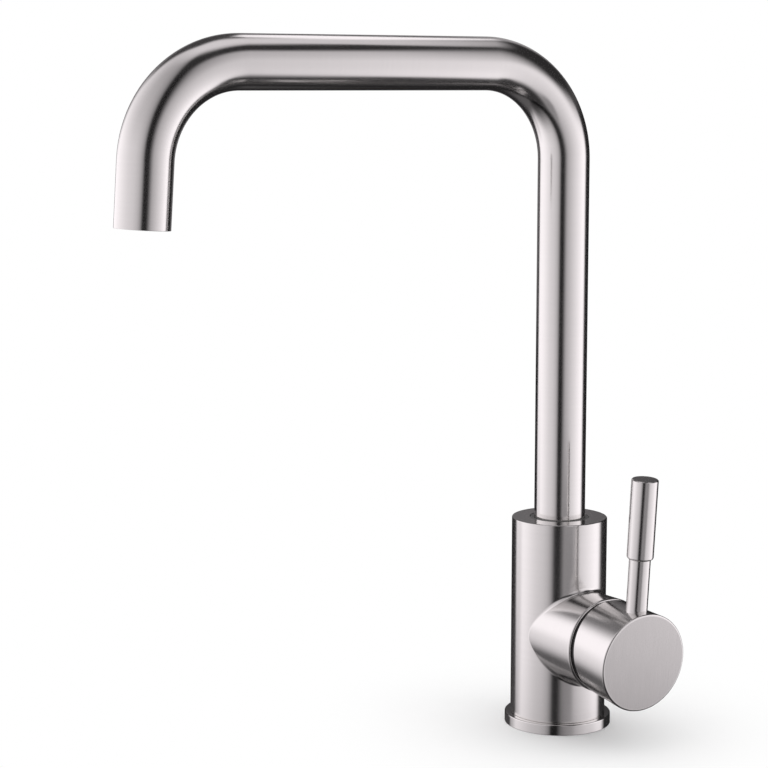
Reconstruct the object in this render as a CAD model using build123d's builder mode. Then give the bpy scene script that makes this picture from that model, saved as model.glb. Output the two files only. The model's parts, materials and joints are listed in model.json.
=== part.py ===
from build123d import *
import os
from math import cos, radians, sin, sqrt, tan

# Kitchen mixer tap with a swivel spout and a side lever.
# Millimetres, +Z up, origin on the deck under the column, spout towards -Y, lever barrel along +X.

# Fits
running_gap = 0.06
seat_gap = 0.03
clear_gap = 0.3
ball_gap = 0.12

# Column, base ring and side stub
cartridge_d = 35.0
chamber_gap = 0.1
nut_step = 1.9
stub_wall = 2.7
stub_step = 0.3
ring_step = 2.75
column_top = 100.0
column_edge = 0.6
ring_height = 5.0
ring_edge = 0.5
foot_step = 2.5
barrel_drop = 54.0
stub_length = 17.5
stub_taper = 1.15
stub_blend = 2.0
stub_edge = 0.7

# Deck seal
seal_inset = 1.6
seal_width = 2.0
seal_depth = 2.0

# Deck fixings and inlets under the foot
inlet_thread_r = 4.5
inlet_thread_length = 12.0
inlet_bore_r = 3.5
inlet_forward = 4.0
inlet_side = 9.0
stud_r = 3.4
stud_length = 20.0
stud_back = 10.0

# Cartridge stack along the barrel
chamber_depth = 23.0
cartridge_base_t = 5.0
fixed_disc_t = 3.5
moving_disc_t = 3.5
turret_flange_t = 2.0
housing_wall = 3.5
housing_roof = 0.5
neck_wall = 3.2
turret_flange_step = 1.9
neck_rise = 3.82
turret_recess = 0.3
disc_margin = 0.5
disc_travel_room = 3.5
stem_arm = 10.5

# Cartridge ports
port_r = 2.6
port_side = 6.5
inlet_port_up = 4.5
outlet_port_down = 6.0
port_seal_wall = 1.4
port_seal_t = 1.5
mix_recess_wall = 1.7
mix_recess_top = 1.6
mix_recess_depth = 1.5
outlet_riser_back = 6.0
outlet_riser_r = 4.0

# Stem, turret slot and carrier keys
stem_width = 7.5
stem_eye_r = 5.0
stem_ball_r = 2.3
stem_ball_room = 0.2
stem_neck_r = 1.55
stem_top = 19.5
pivot_pin_r = 2.0
turret_slot_half = 7.5
carrier_key_inset = 2.0
carrier_key_width = 3.0
carrier_key_height = 1.6
carrier_key_length = 6.0
carrier_peg_r = 1.3
carrier_peg_inset = 1.5
carrier_peg_length = 1.2

# Clamp nut and dome behind the cap
nut_collar = 2.0
thread_relief = 2.0
nut_slots = 6
nut_slot_width = 3.0
nut_slot_depth = 1.2
dome_gap = 0.25
dome_wall = 1.1
dome_roof_t = 1.18

# Handle cap, tipped forward a little at rest
rest_tilt = 4.3
cap_gap = 0.3
cap_wall = 1.75
cap_taper = 2.1
cap_reach = 24.9
cap_bore_margin = 1.3
cap_edge = 0.5
rim_gap_top = 1.7
rim_gap_bottom = 4.9
socket_extra = 0.5
grub_setback = 9.4
grub_r = 2.0
grub_length = 10.0
grub_hex_r = 1.15
grub_hex_depth = 3.0
plug_length = 3.5

# Lever
lever_setback = 7.7
rod_r = 4.9
rod_seat_depth = 3.4
spigot_r = 3.0
spigot_length = 10.0
grip_step = 1.2
grip_start = 47.0
grip_length = 36.9
grip_shoulder = 1.2
grip_edge = 0.4
grip_spigot_r = 3.5
grip_spigot_length = 14.0

# Spout tube
tube_r = 12.0
tube_wall = 1.0
run_height = 312.2
bend_r = 43.6
spout_reach = 213.0
outlet_lean = 3.9
outlet_drop = 28.4

# Spout swivel inside the column, stacked down from the column's top
upper_bush_recess = 0.3
upper_bush_t = 7.6
upper_bush_wall = 1.9
tube_seat_drop = 4.1
o_ring_land = 4.5
o_ring_offset = 6.0
o_ring_r = 0.85
lower_bush_t = 5.0
socket_step = 1.0
shank_wall = 4.0
shank_foot_step = 2.0
shank_foot_length = 4.0
shank_plug_length = 12.0
retainer_r = 2.45
retainer_tip_r = 1.6
retainer_tip_length = 2.2
retainer_recess = 2.0
retainer_hex_r = 1.4
retainer_hex_depth = 3.0
retainer_groove_depth = 1.1
retainer_tip_gap = 0.5

# Outlet insert and aerator
outlet_bush_wall = 1.4
outlet_bush_length = 13.4
outlet_recess = 0.5
outlet_ledge = 1.8
outlet_ledge_t = 1.5
washer_t = 1.5
aerator_wall = 1.0
aerator_floor_ledge = 0.9
aerator_floor_t = 1.0
aerator_grid_t = 3.0
aerator_hex_r = 1.1
aerator_hex_pitch = 2.5

# Radii that follow from the cartridge outwards
cartridge_r = cartridge_d / 2
chamber_r = cartridge_r + chamber_gap
nut_thread_r = chamber_r + nut_step
nut_r = nut_thread_r - seat_gap
stub_r = nut_thread_r + stub_wall
column_r = stub_r + stub_step
ring_r = column_r + ring_step
foot_r = column_r - foot_step
cavity_r = cartridge_r - housing_wall
neck_bore_r = cavity_r - turret_flange_step
neck_r = neck_bore_r + neck_wall
turret_r = neck_bore_r - running_gap
turret_flange_r = cavity_r - running_gap
fixed_disc_r = cavity_r - disc_margin
moving_disc_r = cavity_r - disc_travel_room
mix_recess_r = moving_disc_r - mix_recess_wall
carrier_key_side = moving_disc_r - carrier_key_inset
carrier_peg_side = moving_disc_r - carrier_peg_inset
dome_inner_r = nut_r + dome_gap
dome_r = dome_inner_r + dome_wall
cap_bore_r = dome_r + cap_gap
cap_r = cap_bore_r + cap_wall

# Stations along the barrel
barrel_height = column_top - barrel_drop
stub_end = column_r + stub_length
chamber_floor = stub_end - chamber_depth
base_top = chamber_floor + cartridge_base_t
moving_start = base_top + fixed_disc_t + running_gap
carrier_start = moving_start + moving_disc_t
carrier_t = 2 * (stem_ball_r + stem_ball_room)
carrier_end = carrier_start + carrier_t
turret_start = carrier_end + running_gap
flange_end = turret_start + turret_flange_t
cavity_end = flange_end + running_gap
shoulder = cavity_end + housing_roof
ball_station = carrier_start + carrier_t / 2
pivot = ball_station + stem_arm
neck_end = pivot + neck_rise
turret_end = neck_end - turret_recess
nut_end = stub_end + nut_collar
thread_start = shoulder - thread_relief


def cap_radius(station):
    """Radius of the cap's wall, which narrows from the face to the rim."""
    return cap_r - (cap_reach - station) * tan(radians(cap_taper))


# Stations along the cap, and up the lever from the cap's axis
lever_reach = cap_reach - lever_setback
grub_reach = cap_reach - grub_setback
cap_bore_reach = lever_reach - rod_r - cap_bore_margin
lever_seat = sqrt(cap_radius(lever_reach) ** 2 - rod_r**2) - rod_seat_depth
grip_r = rod_r + grip_step
grip_top = grip_start + grip_length

# Heights in the spout socket, down from the column's top, and the turned sizes of the shank
upper_bush_start = column_top - upper_bush_recess - upper_bush_t
tube_seat = upper_bush_start - tube_seat_drop
retainer_height = tube_seat - o_ring_land - o_ring_offset
o_ring_heights = [retainer_height - o_ring_offset, retainer_height + o_ring_offset]
lower_bush_top = retainer_height - o_ring_offset - o_ring_land
socket_floor = lower_bush_top - lower_bush_t
shank_foot = lower_bush_top + running_gap
shank_top = tube_seat + shank_plug_length
socket_r = tube_r + socket_step
upper_socket_r = tube_r + running_gap + upper_bush_wall
shank_foot_r = tube_r - shank_foot_step
shank_bore_r = tube_r - shank_wall

# Port centres on the chamber floor, across the barrel and above its axis
inlet_ports = [(side * port_side, inlet_port_up) for side in (-1, 1)]
outlet_port = (0, -outlet_port_down)
ports = inlet_ports + [outlet_port]
port_seal_r = port_r + port_seal_wall

# Working planes: barrel looks out along +X, barrel_side is its lengthwise section
barrel = Plane(origin=(0, 0, barrel_height), x_dir=(0, 1, 0), z_dir=(1, 0, 0))
barrel_side = Plane(origin=(0, 0, barrel_height), x_dir=(1, 0, 0), z_dir=(0, -1, 0))
barrel_axis = Axis((0, 0, barrel_height), (1, 0, 0))

# The cap's own planes share the pivot and lean by the rest tilt
tilt = radians(rest_tilt)
cap_direction = (cos(tilt), 0, -sin(tilt))
lever_direction = (sin(tilt), 0, cos(tilt))
pivot_point = (pivot, 0, barrel_height)
cap_plane = Plane(origin=pivot_point, x_dir=(0, 1, 0), z_dir=cap_direction)
cap_side = Plane(origin=pivot_point, x_dir=cap_direction, z_dir=(0, -1, 0))
cap_axis = Axis(pivot_point, cap_direction)
lever_origin = cap_plane.from_local_coords((0, 0, lever_reach))
lever_plane = Plane(origin=lever_origin, x_dir=(0, 1, 0), z_dir=lever_direction)
grub_origin = cap_plane.from_local_coords((0, 0, grub_reach))
grub_plane = Plane(origin=grub_origin, x_dir=(0, 1, 0), z_dir=(-sin(tilt), 0, -cos(tilt)))

os.makedirs("parts", exist_ok=True)


# Column: turned body with the side stub blended in, then bored for the cartridge and the spout
def stub_radius(station):
    """Radius of the stub's wall, which narrows from its end towards the column."""
    return stub_r - (stub_end - station) * tan(radians(stub_taper))


column_base = ring_height
stub_corner = stub_end - stub_edge
with BuildPart() as mixer_body:
    with BuildSketch(Plane.XY.offset(column_base)):
        Circle(column_r)
    extrude(amount=column_top - column_base)
    with BuildSketch(barrel_side):
        Polygon(
            (0, 0),
            (0, stub_radius(0)),
            (stub_corner, stub_radius(stub_corner)),
            (stub_end, stub_r - stub_edge),
            (stub_end, 0),
            align=None,
        )
    revolve(axis=barrel_axis)
    blend_edges = mixer_body.edges().filter_by(
        lambda edge: edge.geom_type not in (GeomType.CIRCLE, GeomType.LINE)
    )
    fillet(blend_edges, radius=stub_blend)
    rims = mixer_body.edges().filter_by(GeomType.CIRCLE)
    chamfer(rims.group_by(Axis.Z)[-1], length=column_edge)
    with BuildSketch():
        Circle(foot_r)
    extrude(amount=column_base)
    with BuildSketch(barrel.offset(chamber_floor)):
        Circle(chamber_r)
    extrude(amount=stub_end - chamber_floor, mode=Mode.SUBTRACT)
    with BuildSketch(barrel.offset(thread_start)):
        Circle(nut_thread_r)
    extrude(amount=stub_end - thread_start, mode=Mode.SUBTRACT)
    with BuildSketch(Plane.XY.offset(socket_floor)):
        Circle(socket_r)
    extrude(amount=column_top - socket_floor, mode=Mode.SUBTRACT)
    with BuildSketch(Plane.XY.offset(upper_bush_start)):
        Circle(upper_socket_r)
    extrude(amount=column_top - upper_bush_start, mode=Mode.SUBTRACT)
    with BuildSketch():
        with Locations((inlet_forward, -inlet_side), (inlet_forward, inlet_side)):
            Circle(inlet_thread_r)
    extrude(amount=inlet_thread_length, mode=Mode.SUBTRACT)
    with BuildSketch():
        with Locations((inlet_forward, -inlet_side), (inlet_forward, inlet_side)):
            Circle(inlet_bore_r)
    extrude(amount=barrel_height + inlet_port_up, mode=Mode.SUBTRACT)
    with BuildSketch(barrel.offset(inlet_forward)):
        with Locations(*inlet_ports):
            Circle(port_r)
    extrude(amount=chamber_floor - inlet_forward, mode=Mode.SUBTRACT)
    with BuildSketch(barrel.offset(-outlet_riser_back)):
        with Locations(outlet_port):
            Circle(port_r)
    extrude(amount=chamber_floor + outlet_riser_back, mode=Mode.SUBTRACT)
    with BuildSketch(Plane.XY.offset(barrel_height - outlet_port_down)):
        with Locations((-outlet_riser_back, 0)):
            Circle(outlet_riser_r)
    extrude(amount=socket_floor - barrel_height + outlet_port_down, mode=Mode.SUBTRACT)
    with BuildSketch():
        with Locations((-stud_back, 0)):
            Circle(stud_r)
    extrude(amount=stud_length, mode=Mode.SUBTRACT)
    with BuildSketch(Plane.ZX):
        with Locations((retainer_height, 0)):
            Circle(retainer_r + seat_gap)
    extrude(amount=column_r, mode=Mode.SUBTRACT)


# Base ring and the seal set into its underside
seal_outer_r = ring_r - seal_inset
seal_inner_r = seal_outer_r - seal_width

with BuildPart() as base_ring:
    with BuildSketch():
        Circle(ring_r)
        Circle(foot_r + seat_gap, mode=Mode.SUBTRACT)
    extrude(amount=ring_height)
    ring_rims = base_ring.edges().filter_by(GeomType.CIRCLE).filter_by(lambda edge: edge.radius > column_r)
    chamfer(ring_rims.group_by(Axis.Z)[-1], length=ring_edge)
    with BuildSketch():
        Circle(seal_outer_r)
        Circle(seal_inner_r, mode=Mode.SUBTRACT)
    extrude(amount=seal_depth, mode=Mode.SUBTRACT)

with BuildPart() as deck_seal:
    with BuildSketch():
        Circle(seal_outer_r - seat_gap)
        Circle(seal_inner_r + seat_gap, mode=Mode.SUBTRACT)
    extrude(amount=seal_depth)


# Fixed half of the cartridge
with BuildPart() as cartridge_base:
    with BuildSketch(barrel.offset(chamber_floor)):
        Circle(cartridge_r)
        with Locations(*ports):
            Circle(port_r, mode=Mode.SUBTRACT)
    extrude(amount=cartridge_base_t)
    with BuildSketch(barrel.offset(chamber_floor)):
        with Locations(*ports):
            Circle(port_seal_r)
    extrude(amount=port_seal_t, mode=Mode.SUBTRACT)
    with BuildSketch(barrel.offset(base_top - port_seal_t)):
        with Locations(*ports):
            Circle(port_seal_r)
    extrude(amount=port_seal_t, mode=Mode.SUBTRACT)


def seal_rings(start):
    """Three flat seal rings round the ports, from a station along the barrel."""
    with BuildPart() as rings:
        with BuildSketch(barrel.offset(start)):
            with Locations(*ports):
                Circle(port_seal_r - seat_gap)
            with Locations(*ports):
                Circle(port_r, mode=Mode.SUBTRACT)
        extrude(amount=port_seal_t)
    return rings


port_seals = seal_rings(chamber_floor)
disc_seals = seal_rings(base_top - port_seal_t)

with BuildPart() as fixed_disc:
    with BuildSketch(barrel.offset(base_top)):
        Circle(fixed_disc_r)
        with Locations(*ports):
            Circle(port_r, mode=Mode.SUBTRACT)
    extrude(amount=fixed_disc_t)

with BuildPart() as cartridge_housing:
    with BuildSketch(barrel_side):
        Polygon(
            (base_top, cavity_r),
            (base_top, cartridge_r),
            (shoulder, cartridge_r),
            (shoulder, neck_r),
            (neck_end, neck_r),
            (neck_end, neck_bore_r),
            (cavity_end, neck_bore_r),
            (cavity_end, cavity_r),
            align=None,
        )
    revolve(axis=barrel_axis)

with BuildPart() as cartridge_nut:
    with BuildSketch(barrel.offset(shoulder)):
        Circle(nut_r)
        Circle(neck_r + seat_gap, mode=Mode.SUBTRACT)
    extrude(amount=nut_end - shoulder)
    with BuildSketch(barrel.offset(nut_end)):
        with PolarLocations(neck_r, nut_slots):
            Rectangle(2 * nut_step, nut_slot_width)
    extrude(amount=-nut_slot_depth, mode=Mode.SUBTRACT)

# Spherical cover centred on the pivot, so that the cap can turn and tip around it
dome_start = stub_end + seat_gap
dome_roof = neck_end
dome_end = dome_roof + dome_roof_t
dome_middle = (dome_start + dome_end) / 2
dome_skirt_bore_r = nut_r + seat_gap
dome_roof_r = sqrt(dome_inner_r**2 - (dome_roof - pivot) ** 2)


def on_dome(station):
    """Point of the dome's outside at a station along the barrel."""
    return (station, sqrt(dome_r**2 - (station - pivot) ** 2))


with BuildPart() as cartridge_dome:
    with BuildSketch(barrel_side):
        with BuildLine():
            outer = ThreePointArc(on_dome(dome_start), on_dome(dome_middle), on_dome(dome_end))
            lip = Line(outer @ 1, (dome_end, neck_bore_r))
            hole = Line(lip @ 1, (dome_roof, neck_bore_r))
            roof = Line(hole @ 1, (dome_roof, dome_roof_r))
            bore = Line(roof @ 1, (nut_end, dome_skirt_bore_r))
            skirt = Line(bore @ 1, (dome_start, dome_skirt_bore_r))
            Line(skirt @ 1, outer @ 0)
        make_face()
    revolve(axis=barrel_axis)


# Turret and pivot pin, which turn with the lever
with BuildPart() as cartridge_turret:
    with BuildSketch(barrel.offset(turret_start)):
        Circle(turret_flange_r)
    extrude(amount=turret_flange_t)
    with BuildSketch(barrel.offset(turret_start)):
        Circle(turret_r)
    extrude(amount=turret_end - turret_start)
    with BuildSketch(barrel.offset(turret_start)):
        Rectangle(stem_width + 2 * running_gap, 2 * turret_slot_half)
    extrude(amount=turret_end - turret_start, mode=Mode.SUBTRACT)
    with BuildSketch(barrel.offset(turret_start)):
        with Locations((-carrier_key_side, 0), (carrier_key_side, 0)):
            Rectangle(carrier_key_width + 2 * running_gap, 2 * turret_flange_r)
    extrude(amount=carrier_key_height, mode=Mode.SUBTRACT)
    with BuildSketch(Plane.XZ.offset(-turret_flange_r)):
        with Locations((pivot, barrel_height)):
            Circle(pivot_pin_r + seat_gap)
    extrude(amount=2 * turret_flange_r, mode=Mode.SUBTRACT)

pin_half = sqrt(turret_r**2 - pivot_pin_r**2) - seat_gap

with BuildPart() as stem_pivot_pin:
    with BuildSketch(Plane.XZ.offset(-pin_half)):
        with Locations((pivot, barrel_height)):
            Circle(pivot_pin_r)
    extrude(amount=2 * pin_half)


# Sliding pair: ceramic disc with its mixing recess, and the carrier that the stem pushes
with BuildPart() as moving_disc:
    with BuildSketch(barrel.offset(moving_start)):
        Circle(moving_disc_r)
    extrude(amount=moving_disc_t)
    with BuildSketch(barrel.offset(moving_start)):
        Circle(mix_recess_r)
        with Locations((0, mix_recess_top + mix_recess_r)):
            Rectangle(2 * mix_recess_r, 2 * mix_recess_r, mode=Mode.SUBTRACT)
    extrude(amount=mix_recess_depth, mode=Mode.SUBTRACT)
    with BuildSketch(barrel.offset(carrier_start)):
        with Locations((-carrier_peg_side, 0), (carrier_peg_side, 0)):
            Circle(carrier_peg_r + seat_gap)
    extrude(amount=-carrier_peg_length, mode=Mode.SUBTRACT)

with BuildPart() as disc_carrier:
    with BuildSketch(barrel.offset(carrier_start)):
        Circle(moving_disc_r)
    extrude(amount=carrier_t)
    with BuildSketch(barrel.offset(carrier_end)):
        with Locations((-carrier_key_side, 0), (carrier_key_side, 0)):
            Rectangle(carrier_key_width, carrier_key_length)
    extrude(amount=carrier_key_height - running_gap)
    with BuildSketch(barrel.offset(carrier_start)):
        with Locations((-carrier_peg_side, 0), (carrier_peg_side, 0)):
            Circle(carrier_peg_r)
    extrude(amount=-carrier_peg_length)
    with BuildSketch(barrel.offset(carrier_start)):
        with Locations((0, stem_arm * sin(tilt))):
            Circle(stem_ball_r + ball_gap)
    extrude(amount=carrier_t, mode=Mode.SUBTRACT)


# Stem: ball end in the carrier, eye on the pivot pin, square end in the cap
with BuildPart() as cartridge_stem:
    with BuildSketch(cap_side):
        Circle(stem_eye_r)
        with Locations((stem_top / 2, 0)):
            Rectangle(stem_top, stem_width)
        Circle(pivot_pin_r + running_gap, mode=Mode.SUBTRACT)
    extrude(amount=stem_width / 2, both=True)
    with BuildSketch(cap_plane.offset(-stem_arm)):
        Circle(stem_neck_r)
    extrude(amount=stem_arm - pivot_pin_r - stem_neck_r / 2)
    with Locations(cap_plane.offset(-stem_arm)):
        Sphere(stem_ball_r)


# Handle cap: turned cup with an oblique rim, a square socket, a lever seat and a grub screw hole
def rim_station(gap, height):
    """Distance along the cap axis of the rim at a height above it, for a gap to the stub."""
    return (stub_end + gap - pivot - height * sin(tilt)) / cos(tilt)


rim_top = rim_station(rim_gap_top, cap_r)
rim_bottom = rim_station(rim_gap_bottom, -cap_r)
rim_slope = (rim_bottom - rim_top) / (2 * cap_r)
rim_back = rim_top - cap_r * rim_slope

with BuildPart() as handle_cap:
    with BuildSketch(cap_side):
        Polygon(
            (rim_back, 0),
            (rim_back, cap_radius(rim_back)),
            (cap_reach - cap_edge, cap_radius(cap_reach - cap_edge)),
            (cap_reach, cap_r - cap_edge),
            (cap_reach, 0),
            align=None,
        )
    revolve(axis=cap_axis)
    with BuildSketch(cap_plane.offset(rim_back)):
        Circle(cap_bore_r)
    extrude(amount=cap_bore_reach - rim_back, mode=Mode.SUBTRACT)
    with BuildSketch(cap_side):
        Polygon(
            (rim_top - rim_slope * cap_r, 2 * cap_r),
            (rim_bottom + rim_slope * cap_r, -2 * cap_r),
            (rim_back - cap_r, -2 * cap_r),
            (rim_back - cap_r, 2 * cap_r),
            align=None,
        )
    extrude(amount=2 * cap_r, both=True, mode=Mode.SUBTRACT)
    with BuildSketch(cap_plane.offset(cap_bore_reach)):
        Rectangle(stem_width + 2 * seat_gap, stem_width + 2 * seat_gap)
    extrude(amount=stem_top + socket_extra - cap_bore_reach, mode=Mode.SUBTRACT)
    with BuildSketch(lever_plane.offset(lever_seat)):
        Circle(rod_r + seat_gap)
    extrude(amount=cap_r, mode=Mode.SUBTRACT)
    with BuildSketch(lever_plane.offset(lever_seat)):
        Circle(spigot_r + seat_gap)
    extrude(amount=-spigot_length - socket_extra, mode=Mode.SUBTRACT)
    with BuildSketch(grub_plane):
        Circle(grub_r + seat_gap)
    extrude(amount=cap_r, mode=Mode.SUBTRACT)


# Grub screw that clamps the stem, and the plug that hides it under the cap
grub_start = stem_width / 2
plug_end = sqrt(cap_radius(grub_reach - grub_r) ** 2 - grub_r**2)

with BuildPart() as handle_grub_screw:
    with BuildSketch(grub_plane.offset(grub_start)):
        Circle(grub_r)
    extrude(amount=grub_length)
    with BuildSketch(grub_plane.offset(grub_start + grub_length)):
        RegularPolygon(grub_hex_r, 6)
    extrude(amount=-grub_hex_depth, mode=Mode.SUBTRACT)

with BuildPart() as screw_plug:
    with BuildSketch(grub_plane.offset(plug_end - plug_length)):
        Circle(grub_r)
    extrude(amount=plug_length)


# Lever: stepped rod screwed into the cap, with the thicker grip screwed onto it
with BuildPart() as lever_rod:
    with BuildSketch(lever_plane.offset(lever_seat)):
        Circle(rod_r)
    extrude(amount=grip_start - lever_seat)
    with BuildSketch(lever_plane.offset(lever_seat)):
        Circle(spigot_r)
    extrude(amount=-spigot_length)
    with BuildSketch(lever_plane.offset(grip_start)):
        Circle(grip_spigot_r)
    extrude(amount=grip_spigot_length)

with BuildPart() as lever_grip:
    with BuildSketch(lever_plane.offset(grip_start)):
        Circle(grip_r)
    extrude(amount=grip_top - grip_start)
    lever_axis = Axis(lever_plane.origin, lever_direction)
    grip_ends = lever_grip.edges().filter_by(GeomType.CIRCLE).sort_by(lever_axis)
    fillet(grip_ends[0], radius=grip_shoulder)
    chamfer(grip_ends[-1], length=grip_edge)
    with BuildSketch(lever_plane.offset(grip_start)):
        Circle(grip_spigot_r + seat_gap)
    extrude(amount=grip_spigot_length + socket_extra, mode=Mode.SUBTRACT)


# Spout tube along one bent centreline, from its seat on the shank to the outlet
second_turn = 90 - outlet_lean
lean = radians(outlet_lean)
run_end = spout_reach - outlet_drop * sin(lean) - bend_r * cos(lean)

with BuildLine(Plane.YZ) as spout_path:
    riser = Line((0, tube_seat), (0, run_height - bend_r))
    first_bend = JernArc(riser @ 1, riser % 1, bend_r, 90)
    run = Line(first_bend @ 1, (-run_end, run_height))
    second_bend = JernArc(run @ 1, run % 1, bend_r, second_turn)
    drop_end = second_bend @ 1 + outlet_drop * (second_bend % 1)
    Line(second_bend @ 1, drop_end)

with BuildPart() as spout_tube:
    with BuildSketch(Plane.XY.offset(tube_seat)):
        Circle(tube_r)
        Circle(tube_r - tube_wall, mode=Mode.SUBTRACT)
    sweep(path=spout_path.line)


# Swivel: turned shank brazed into the tube, running in two bushes and held by a dog-point screw
shank_plug_r = tube_r - tube_wall - seat_gap
groove_r = tube_r - retainer_groove_depth
groove_half = retainer_tip_r + clear_gap
o_ring_seat_r = socket_r - running_gap - 2 * o_ring_r
o_ring_half = o_ring_r + clear_gap

with BuildPart() as spout_shank:
    with BuildSketch(Plane.XY.offset(shank_foot - shank_foot_length)):
        Circle(shank_foot_r)
    extrude(amount=shank_foot_length)
    with BuildSketch(Plane.XY.offset(shank_foot)):
        Circle(tube_r)
    extrude(amount=tube_seat - shank_foot)
    with BuildSketch(Plane.XY.offset(tube_seat)):
        Circle(shank_plug_r)
    extrude(amount=shank_plug_length)
    with BuildSketch(Plane.XY.offset(shank_foot - shank_foot_length)):
        Circle(shank_bore_r)
    extrude(amount=shank_top - shank_foot + shank_foot_length, mode=Mode.SUBTRACT)
    for height in o_ring_heights:
        with BuildSketch(Plane.XY.offset(height - o_ring_half)):
            Circle(tube_r)
            Circle(o_ring_seat_r, mode=Mode.SUBTRACT)
        extrude(amount=2 * o_ring_half, mode=Mode.SUBTRACT)
    with BuildSketch(Plane.XY.offset(retainer_height - groove_half)):
        Circle(tube_r)
        Circle(groove_r, mode=Mode.SUBTRACT)
    extrude(amount=2 * groove_half, mode=Mode.SUBTRACT)

with BuildPart() as spout_o_rings:
    with BuildSketch(Plane.XZ):
        with Locations(*[(o_ring_seat_r + o_ring_r, height) for height in o_ring_heights]):
            Circle(o_ring_r)
    revolve(axis=Axis.Z)

with BuildPart() as spout_lower_bush:
    with BuildSketch(Plane.XY.offset(socket_floor)):
        Circle(socket_r - seat_gap)
        Circle(shank_foot_r + running_gap, mode=Mode.SUBTRACT)
    extrude(amount=lower_bush_t)

with BuildPart() as spout_upper_bush:
    with BuildSketch(Plane.XY.offset(upper_bush_start)):
        Circle(upper_socket_r - seat_gap)
        Circle(tube_r + running_gap, mode=Mode.SUBTRACT)
    extrude(amount=upper_bush_t)

retainer_back = Plane(origin=(0, 0, retainer_height), x_dir=(1, 0, 0), z_dir=(0, 1, 0))
retainer_tip = groove_r + retainer_tip_gap
retainer_head = column_r - retainer_recess

with BuildPart() as spout_retaining_screw:
    with BuildSketch(retainer_back.offset(retainer_tip)):
        Circle(retainer_tip_r)
    extrude(amount=retainer_tip_length)
    with BuildSketch(retainer_back.offset(retainer_tip + retainer_tip_length)):
        Circle(retainer_r)
    extrude(amount=retainer_head - retainer_tip - retainer_tip_length)
    with BuildSketch(retainer_back.offset(retainer_head)):
        RegularPolygon(retainer_hex_r, 6)
    extrude(amount=-retainer_hex_depth, mode=Mode.SUBTRACT)


# Outlet: insert brazed into the tube end, with the aerator screwed into it against a washer
outlet = Plane(origin=drop_end, x_dir=(1, 0, 0), z_dir=second_bend % 1)
bush_r = tube_r - tube_wall - seat_gap
aerator_r = bush_r - outlet_bush_wall - seat_gap
bush_end = -outlet_recess
bush_start = bush_end - outlet_bush_length
ledge_end = bush_start + outlet_ledge_t
washer_end = ledge_end + washer_t
grid_r = aerator_r - aerator_wall - seat_gap
grid_rows = int((grid_r - aerator_hex_r) / aerator_hex_pitch)

with BuildPart() as outlet_bush:
    with BuildSketch(outlet.offset(bush_start)):
        Circle(bush_r)
        Circle(bush_r - outlet_bush_wall, mode=Mode.SUBTRACT)
    extrude(amount=outlet_bush_length)
    with BuildSketch(outlet.offset(bush_start)):
        Circle(bush_r - outlet_bush_wall)
        Circle(bush_r - outlet_bush_wall - outlet_ledge, mode=Mode.SUBTRACT)
    extrude(amount=outlet_ledge_t)

with BuildPart() as aerator_washer:
    with BuildSketch(outlet.offset(ledge_end)):
        Circle(aerator_r)
        Circle(bush_r - outlet_bush_wall - outlet_ledge, mode=Mode.SUBTRACT)
    extrude(amount=washer_t)

with BuildPart() as aerator_housing:
    with BuildSketch(outlet.offset(washer_end)):
        Circle(aerator_r)
        Circle(aerator_r - aerator_wall, mode=Mode.SUBTRACT)
    extrude(amount=bush_end - washer_end)
    with BuildSketch(outlet.offset(bush_end)):
        Circle(aerator_r - aerator_wall)
        Circle(aerator_r - aerator_wall - aerator_floor_ledge, mode=Mode.SUBTRACT)
    extrude(amount=-aerator_floor_t)

with BuildPart() as aerator_insert:
    with BuildSketch(outlet.offset(bush_end - aerator_floor_t)):
        Circle(grid_r)
        for row in range(-grid_rows, grid_rows + 1):
            row_half = 2 * grid_rows - abs(row)
            for step in range(-row_half, row_half + 1, 2):
                with Locations((step * aerator_hex_pitch / 2, row * aerator_hex_pitch * sin(radians(60)))):
                    RegularPolygon(aerator_hex_r, 6, rotation=30, mode=Mode.SUBTRACT)
    extrude(amount=-aerator_grid_t)


pieces = {
    "mixer_body": mixer_body,
    "base_ring": base_ring,
    "deck_seal": deck_seal,
    "cartridge_base": cartridge_base,
    "port_seals": port_seals,
    "disc_seals": disc_seals,
    "fixed_disc": fixed_disc,
    "cartridge_housing": cartridge_housing,
    "cartridge_nut": cartridge_nut,
    "cartridge_dome": cartridge_dome,
    "cartridge_turret": cartridge_turret,
    "stem_pivot_pin": stem_pivot_pin,
    "moving_disc": moving_disc,
    "disc_carrier": disc_carrier,
    "cartridge_stem": cartridge_stem,
    "handle_cap": handle_cap,
    "handle_grub_screw": handle_grub_screw,
    "screw_plug": screw_plug,
    "lever_rod": lever_rod,
    "lever_grip": lever_grip,
    "spout_tube": spout_tube,
    "spout_shank": spout_shank,
    "spout_o_rings": spout_o_rings,
    "spout_lower_bush": spout_lower_bush,
    "spout_upper_bush": spout_upper_bush,
    "spout_retaining_screw": spout_retaining_screw,
    "outlet_bush": outlet_bush,
    "aerator_washer": aerator_washer,
    "aerator_housing": aerator_housing,
    "aerator_insert": aerator_insert,
}

for name, piece in pieces.items():
    piece.part.label = name
    export_step(piece.part, f"parts/{name}.step")
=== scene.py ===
import json
import math
from collections import namedtuple

import bpy
from mathutils import Matrix, Vector
from mathutils.geometry import tessellate_polygon


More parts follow.
